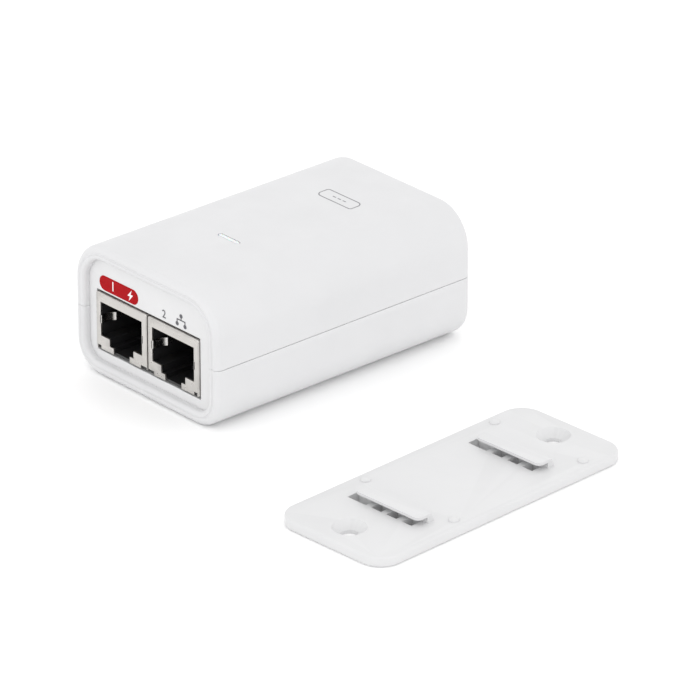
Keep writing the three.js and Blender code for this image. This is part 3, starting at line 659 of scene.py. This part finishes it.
# ------------------------------------------------------------------ network jacks
MOUTH = {"half": 6.4, "low": SEAT + 3.05, "high": JACK_TOP - 2.0}
KEYWAY = {"half": 3.7, "low": SEAT + 1.45}
LATCH_HALF = 2.5
SHEET = 0.4
NOTCH = {"inner": (0.1, 1.9), "outer": (0.45, 1.45)}  # from a lower corner to each end of its notch


def mouth_outline(x, low):
    """A jack's opening from the front: the plug's place, then the two steps down for its latch."""
    right = [
        (LATCH_HALF, low),
        (LATCH_HALF, KEYWAY["low"]),
        (KEYWAY["half"], KEYWAY["low"]),
        (KEYWAY["half"], MOUTH["low"]),
        (MOUTH["half"], MOUTH["low"]),
        (MOUTH["half"], MOUTH["high"]),
    ]
    return [(x + dx, z) for dx, z in right] + [(x - dx, z) for dx, z in reversed(right)]


# How far a side finger stands into the mouth at each distance behind the jack's front.
FINGER_RUN = [(0, 0.1), (0.3, 0.22), (0.9, 0.2), (2.3, 0.25), (3.3, 0.95), (4.2, 0.4), (5, 0.3)]
FINGER = {"low": MOUTH["low"] + 2.7, "high": MOUTH["low"] + 4.5, "thickness": 0.2}


def ground_finger(name, x, front, side):
    """A strip folded in from the shield's mouth that bows towards the plug's metal side."""
    wall = x + side * MOUTH["half"]
    outer = [(wall - side * inwards, front + behind) for behind, inwards in FINGER_RUN]
    inner = [(a + side * FINGER["thickness"], y + 0.02) for a, y in outer[1:]]
    root = [(wall + side * 0.3, front + SHEET), (wall + side * 0.3, front)]
    strip = prism(name, "z", outer + inner[::-1] + root, FINGER["low"], FINGER["high"], SPRING)
    return soften(strip, 0.06, 2)


def jack_notch(corner, towards, front):
    """A notch in a shield's lower edge; the two beside each other are the wider ones."""
    kind = "inner" if abs(corner - PAIR_MIDDLE) < 1 else "outer"
    ends = sorted(corner + distance * towards for distance in NOTCH[kind])
    return block("notch", ends, (front - 1, front + 3), (SEAT - 1, SEAT + 0.9))


def jack_shield(which):
    """A folded sheet can with the plug's mouth, two notches, four small windows and two legs."""
    jack = JACKS[which]
    x, front, rear, top = jack.mid.x, jack.low.y, jack.high.y, jack.high.z
    across = (jack.low.x, jack.high.x)
    outline = rounded(*across, SEAT, top, 0.5, count=5)
    can = prism(f"{which}_shield", "y", outline, front, rear, NICKEL, 0.25)
    hollow = block(
        "hollow",
        (across[0] + SHEET, across[1] - SHEET),
        (front + SHEET, rear - SHEET),
        (SEAT - 1, top - SHEET),
    )
    mouth = prism("mouth", "y", mouth_outline(x, SEAT - 1), front - 1, front + SHEET + 0.2)
    notches = [jack_notch(corner, towards, front) for corner, towards in zip(across, (1, -1))]
    beyond = (across[0] - 1, across[1] + 1)
    heights = (SEAT + 3.2, SEAT + 4.1)
    windows = [block("window", beyond, (front + at, front + at + 3.2), heights) for at in (9, 15)]
    cut(can, hollow, mouth, *notches, *windows)
    legs = []
    for outer, inner in ((across[0], across[0] + SHEET), (across[1] - SHEET, across[1])):
        legs.append(block("leg", (outer, inner), (front + 8, front + 9.6), (jack.low.z, SEAT + 1)))
    fuse(can, *legs)
    soften(smooth(can), 0.07, 2)
    finished(can, "case", "jack_nickel", f"{which}_jack_shield")
    for side, label in ((-1, "left"), (1, "right")):
        finger = ground_finger(f"{which}_ground_finger_{label}", x, front, side)
        finished(smooth(finger), "case", "jack_nickel")


def jack_contacts(which):
    """Eight gold wires bent back into the plug's way from a comb at the hinge."""
    place = CONTACTS[which]
    hinge = HINGES[f"{which}_contacts"]
    reach, drop = place.high.y - hinge.y, hinge.z - place.low.z
    radius = 0.2
    comb = block(
        f"{which}_contact_wires",
        (place.low.x, place.high.x),
        (hinge.y - 0.5, hinge.y + 0.5),
        (hinge.z - 0.42, hinge.z + 0.42),
        GOLD,
    )
    path = [(0, 0), (0.18, -0.1), (0.9, -0.92), (1.0, -0.94)]
    run = [(hinge.y + a * reach, hinge.z + b * (drop - 0.3)) for a, b in path]
    wires = []
    for i in range(8):
        x = hinge.x + (i - 3.5) * 1.016
        wires.append(wire(f"wire_{i}", x, run, radius))
    fuse(comb, *wires)
    return finished(smooth(comb), f"{which}_contacts", "contact_gold", f"{which}_jack_contacts")


def wire(name, x, run, radius):
    """A round wire in one upright plane, through (y, z) points."""
    rings = []
    for i, (y, z) in enumerate(run):
        before, after = run[max(0, i - 1)], run[min(len(run) - 1, i + 1)]
        along = Vector((after[0] - before[0], after[1] - before[1])).normalized()
        ring = []
        for a in (2 * math.pi * k / 10 for k in range(10)):
            off = radius * math.sin(a)
            ring.append(Vector((x + radius * math.cos(a), y - along.y * off, z + along.x * off)))
        rings.append(ring)
    return loft(name, rings, GOLD)


# ------------------------------------------------------------------ mains inlet


def inlet():
    """The rear socket: a rounded nose with a cloverleaf recess round the three pins."""
    face, rear = INLET.high.y, INLET.low.y
    half = OPENING["half"] - 0.2
    low, high = OPENING["low"] + 0.2, OPENING["high"] - 0.2
    outline = rounded(-half, half, low, high, 0.6, count=6)
    nose = prism("inlet_socket", "y", outline, rear, face, BLACK, 0.3)
    depth = 13
    lobes = []
    for name, radius in (("line", 4.2), ("neutral", 4.2), ("earth", 4.7)):
        pin = PINS[name]
        z = pin.high.z - (pin.high.x - pin.low.x) / 2
        lobes.append((pin.mid.x, z, radius))
    tools = [round_bar("lobe", "y", (x, z), face - depth, face + 1, r) for x, z, r in lobes]
    left, right, earth = lobes
    tools.append(prism("web", "y", [left[:2], right[:2], earth[:2]], face - depth, face + 1))
    floor = min(left[1], right[1]) - left[2] * 0.8
    tools.append(block("chin", (left[0], right[0]), (face - depth, face + 1), (floor, left[1])))
    tools += [round_bar("bore", "y", (x, z), rear - 1, face, 1.3) for x, z, _ in lobes]
    cut(nose, *tools)
    soften(smooth(nose), 0.18)
    return finished(nose, "case", "black_plastic", "inlet_housing")


def inlet_pin(name):
    """A round pin with rounded ends."""
    pin = PINS[name]
    radius = (pin.high.x - pin.low.x) / 2
    centre = (pin.mid.x, pin.high.z - radius)
    shaft = round_bar(f"{name}_pin", "y", centre, pin.low.y, pin.high.y, radius, BRASS, 0.55)
    return finished(smooth(shaft), "case", "pin_brass", f"inlet_{name}_pin")


# ------------------------------------------------------------------ prints


def lettering(name, body, size, centre, material):
    """A numeral printed upright on the front panel."""
    curve = bpy.data.curves.new(name, "FONT")
    curve.body = body
    curve.size = size
    curve.align_x = "CENTER"
    curve.align_y = "CENTER"
    curve.extrude = 0.02
    text = bpy.data.objects.new(name + "_curve", curve)
    bpy.context.scene.collection.objects.link(text)
    graph = bpy.context.evaluated_depsgraph_get()
    mesh = bpy.data.meshes.new_from_object(text.evaluated_get(graph))
    bpy.data.objects.remove(text)
    mesh.transform(Matrix.Rotation(math.radians(90), 4, "X"))
    mesh.transform(Matrix.Translation(centre))
    mesh.transform(Matrix.Scale(MM, 4))
    return new_object(name, mesh, material)


PILL = {"half_length": 6.0, "half_height": 1.62, "z": 20.35}


def port_prints():
    """A numeral and a bolt on a red pill over the powered jack, a numeral and a mark over the other."""
    face = PANEL.low.y
    ink = (face - 0.05, face + 0.05)
    over = (face - 0.08, face - 0.03)
    middle, z = JACKS["poe"].mid.x - 0.95, PILL["z"]
    ends = (middle - PILL["half_length"], middle + PILL["half_length"])
    heights = (z - PILL["half_height"], z + PILL["half_height"])
    outline = rounded(*ends, *heights, PILL["half_height"] - 0.02, count=14)
    pill = prism("power_mark", "y", outline, *ink, RED_INK)
    finished(smooth(pill), "case", None)
    bolt = [(0.45, 1.25), (-0.85, -0.2), (-0.1, -0.2), (-0.45, -1.25), (0.85, 0.25), (0.1, 0.25)]
    at = ends[1] - 2.4
    spark = prism("power_spark", "y", [(at + x, z + dz) for x, dz in bolt], *over, WHITE_INK)
    finished(spark, "case", None)
    one = lettering("power_numeral", "1", 3.0, Vector((ends[0] + 4.2, face - 0.055, z)), WHITE_INK)
    finished(one, "case", None)
    data = JACKS["lan"].mid.x
    two = lettering("data_numeral", "2", 2.5, Vector((data - 3.0, face - 0.03, z - 0.5)), GREY_INK)
    finished(two, "case", None)
    network_glyph(data + 2.23, z - 0.1, face)


def network_glyph(x, z, face):
    """A round node joined to two others by lines."""
    ink = (face - 0.05, face + 0.05)
    spots = [(x, z + 1.0), (x - 1.2, z - 0.9), (x + 1.2, z - 0.9)]
    dots = []
    for i, spot in enumerate(spots):
        dots.append(round_bar(f"node_{i}", "y", spot, *ink, 0.45, GREY_INK, count=24))
    rail = block("rail", (x - 1.32, x + 1.32), ink, (z - 0.02, z + 0.22), GREY_INK)
    drops = []
    for sx, sz in spots:
        heights = sorted((sz, z + 0.1))
        drops.append(block("drop", (sx - 0.12, sx + 0.12), ink, heights, GREY_INK))
    glyph = fuse(rail, *drops, *dots)
    glyph.name = "network_mark"
    glyph.data.name = "network_mark"
    finished(glyph, "case", None)


def top_print():
    """A thin outlined box on the top, two of its corners rounder, with three short strokes in it."""
    x, y = 0.3, FRONT + 51.5
    half_x, half_y = 5.3, 1.85
    ink = (HEIGHT - 0.05, HEIGHT + 0.02)

    def outline(inset):
        points = []
        corners = [(1, -1, 0.6, -90), (1, 1, 1.5, 0), (-1, 1, 0.6, 90), (-1, -1, 1.5, 180)]
        for sx, sy, radius, start in corners:
            cx = x + sx * (half_x - radius)
            cy = y + sy * (half_y - radius)
            points += arc(cx, cy, radius - inset, start, start + 90, 8)
        return points

    frame_line = prism("top_mark_frame", "z", outline(0), *ink, PALE_INK)
    cut(frame_line, prism("inside", "z", outline(0.25), HEIGHT - 1, HEIGHT + 1))
    finished(frame_line, "case", None)
    for i in range(3):
        at = x + 1.5 * (i - 1)
        stroke = block(f"top_mark_stroke_{i}", (at - 0.45, at + 0.45), (y - 0.14, y + 0.14), ink, PALE_INK)
        finished(stroke, "case", None)


# ------------------------------------------------------------------ wall plate


def wall_plate():
    """The rounded plate with two slots under hooks, two countersunk holes and four nubs."""
    low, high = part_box("wall_plate")
    centre = Vector((low.x + high.x, low.y + high.y, 0)) / 2
    half_x, half_y, top = PLATE["half_width"], PLATE["half_length"], PLATE["top"]
    outline = rounded(-half_x, half_x, -half_y, half_y, PLATE["corner"], count=16)
    plate = prism("mount_plate", "z", outline, 0, top, PLATE_WHITE, 0.45)
    through = (-1, top + 1)
    across = (SLOT["left"], SLOT["right"])
    tools = [block("slot", across, (spot, spot + SLOT["length"]), through) for spot in HOOK_SPOTS]
    for end in (-1, 1):
        tools += screw_hole((0, end * PLATE["screw_spacing"] / 2), top)
    cut(plate, *tools)
    added = []
    for spot in HOOK_SPOTS:
        added += hook(spot, top) + slot_teeth(spot, top)
    for x in NUBS["x"]:
        added += [nub((x, y), top) for y in NUBS["y"]]
    fuse(plate, *added)
    plate.data.transform(Matrix.Rotation(PLATE["turn"], 4, "Z"))
    plate.data.transform(Matrix.Translation(centre))
    soften(smooth(plate), 0.1)
    return finished(plate, "loose_plate", "plate_white", "wall_plate")


def screw_hole(at, top):
    """A through hole and the cone of its countersink."""
    hole, sink = PLATE["hole"], PLATE["sink"]
    cone = [(0, 0.7), (hole, 0.7), (sink, top), (sink, top + 2), (0, top + 2)]
    return [round_bar("hole", "z", at, -1, top + 1, hole), turned("sink", at, cone, PLATE_WHITE, 64)]


def slot_teeth(spot, top):
    """Short teeth that cross a slot at the plate's own surface."""
    ys = (spot - 0.3, spot + SLOT["length"] + 0.3)
    starts = [TEETH["first"] + i * TEETH["pitch"] for i in range(3)]
    return [block("tooth", (x, x + TEETH["width"]), ys, (0.5, top)) for x in starts]


def nub(at, top):
    """A small domed bump that keeps the case off the plate."""
    radius = NUBS["radius"]
    angles = [math.radians(15 * i) for i in range(7)]
    dome = [(radius * math.cos(a), top + 0.1 + 0.45 * math.sin(a)) for a in angles]
    profile = [(0, top - 1), (radius, top - 1), *dome[:-1], (0, top + 0.55)]
    return turned("nub", at, profile, PLATE_WHITE, 32)


def hook(spot, base):
    """A lip over the slot, carried by a stem with a ramp behind it."""
    low = base + LIP["gap"]
    top = low + LIP["thickness"]
    stem = spot + STEM["start"]
    rear = stem + STEM["thickness"]
    across = (LIP["left"], LIP["right"])
    lip = prism("lip", "z", rounded(*across, spot + LIP["start"], rear, LIP["corner"], 0.3, 8), low, top)
    ramp_end = rear + RAMP
    side = [(stem, base - 0.5), (ramp_end, base - 0.5), (ramp_end, base), (rear, top), (stem, top)]
    return [lip, prism("root", "x", side, *across)]


# ------------------------------------------------------------------ parts kept from the CAD
KEPT = {
    "poe_jack_housing": BLACK,
    "lan_jack_housing": BLACK,
    "status_led": milky_plastic("led_lens"),
    "main_board": BOARD,
    "insulation_sheet": FILM,
    "board_screw_front": STEEL,
    "board_screw_rear": STEEL,
    "fuse": CERAMIC_TUBE,
    "varistor": VARISTOR,
    "interference_capacitor": FILM_BOX,
    "choke_core": FERRITE,
    "choke_winding_upper": COPPER,
    "choke_winding_lower": COPPER,
    "bridge_rectifier": CHIP,
    "bulk_capacitor": SLEEVE,
    "transformer_core_front": FERRITE,
    "transformer_core_rear": FERRITE,
    "transformer_bobbin": BLACK,
    "transformer_winding": TAPE,
    "heatsink": ALUMINIUM,
    "power_switch": CHIP,
    "heatsink_screw": STEEL,
    "controller_chip": CHIP,
    "optocoupler": CHIP,
    "safety_capacitor": CERAMIC_BLUE,
    "output_diode": CHIP,
    "output_capacitor_left": SLEEVE,
    "output_capacitor_right": SLEEVE,
    "output_inductor": FERRITE,
    "network_transformer": CHIP,
}


def kept_parts():
    """Gives the CAD nodes that stay in view their materials."""
    for name, material in KEPT.items():
        node = frame["nodes"][name]
        node.data.materials.clear()
        node.data.materials.append(material)


# ------------------------------------------------------------------ stage


def stage():
    """A pale floor, an even white sky and two large soft lights, in front and on the right."""
    floor = block("floor", (-1500, 1500), (-1500, 1500), (-4, -0.02))
    shader = Shader("floor_white", (0.97, 0.97, 0.97), 0.7)
    shader.vary_roughness(40, 0.04)
    floor.data.materials[0] = shader.material
    world = bpy.data.worlds.new("studio")
    bpy.context.scene.world = world
    world.use_nodes = True
    world.node_tree.nodes["Background"].inputs["Color"].default_value = (1, 1, 1, 1)
    world.node_tree.nodes["Background"].inputs["Strength"].default_value = 1.2
    soft_light("right", Vector((0.9, -0.2, 0.35)), 0.8, 1.0)
    soft_light("front", Vector((-0.25, -0.9, 0.35)), 0.8, 0.7)
    bpy.context.scene.view_settings.view_transform = "Standard"


def soft_light(name, place, size, power):
    light = bpy.data.lights.new(name, "AREA")
    light.shape = "DISK"
    light.size = size
    light.energy = power
    lamp = bpy.data.objects.new(name, light)
    lamp.location = place
    lamp.rotation_mode = "QUATERNION"
    lamp.rotation_quaternion = (-place).to_track_quat("-Z", "Y")
    bpy.context.scene.collection.objects.link(lamp)


def camera():
    """Looks at the middle of both pieces from the photograph's direction and distance."""
    azimuth, elevation = math.radians(VIEW["azimuth"]), math.radians(VIEW["elevation"])
    level = math.cos(elevation)
    back = Vector((math.sin(azimuth) * level, -math.cos(azimuth) * level, math.sin(elevation)))
    low, high = cad_box
    target = (low + high) / 2
    data = bpy.data.cameras.new("camera")
    data.sensor_width = 36
    data.lens = VIEW["lens"]
    eye = bpy.data.objects.new("camera", data)
    eye.location = target + back * VIEW["distance"]
    eye.rotation_mode = "QUATERNION"
    eye.rotation_quaternion = (-back).to_track_quat("-Z", "Y")
    data.clip_end = 10
    bpy.context.scene.collection.objects.link(eye)
    bpy.context.scene.camera = eye


top_cover()
bottom_cover()
front_panel()
light_pipe()
for jack_name in JACKS:
    jack_shield(jack_name)
    jack_contacts(jack_name)
inlet()
for pin_name in PINS:
    inlet_pin(pin_name)
port_prints()
top_print()
wall_plate()
kept_parts()
stage()
camera()
